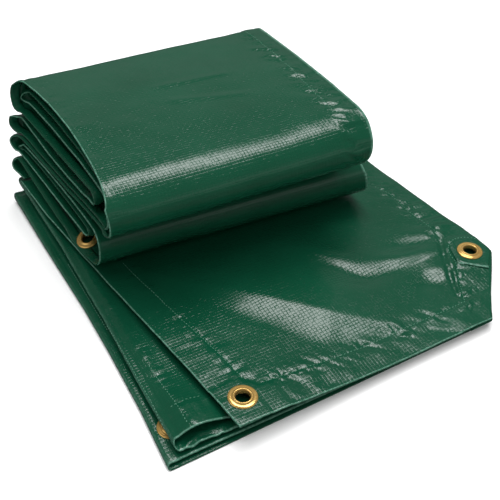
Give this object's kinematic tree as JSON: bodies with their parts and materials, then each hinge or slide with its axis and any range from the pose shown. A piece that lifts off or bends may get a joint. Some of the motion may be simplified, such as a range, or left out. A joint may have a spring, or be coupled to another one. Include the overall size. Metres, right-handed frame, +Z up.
{
  "type": "folded tarp",
  "caption": "Coated tarpaulin folded into a thick stack of leaves on a wide folded base, with a hemmed corner flap in front that has brass eyelets.",
  "frame": {"origin": "centre of the bounding box's underside, on the surface that the tarp rests on", "axes": "+Z up from the surface, -Y towards the flap's front hem, +X towards the folded right side of the base"},
  "size_m": [0.368, 0.3976, 0.1349],
  "materials": {
    "tarp_cloth": "glossy coated weave, deep forest green, with puckered stitched hems",
    "eyelet_brass": "polished rolled brass"
  },
  "bodies": {
    "root": {"tarp_cloth": "tarp_cloth", "flap_hem_strip": "tarp_cloth", "corner_tab": "tarp_cloth", "eyelet_flap_corner": "eyelet_brass", "eyelet_corner_tab": "eyelet_brass", "eyelet_floor_corner": "eyelet_brass", "eyelet_stack_edge": "eyelet_brass"}
  },
  "joints": []
}
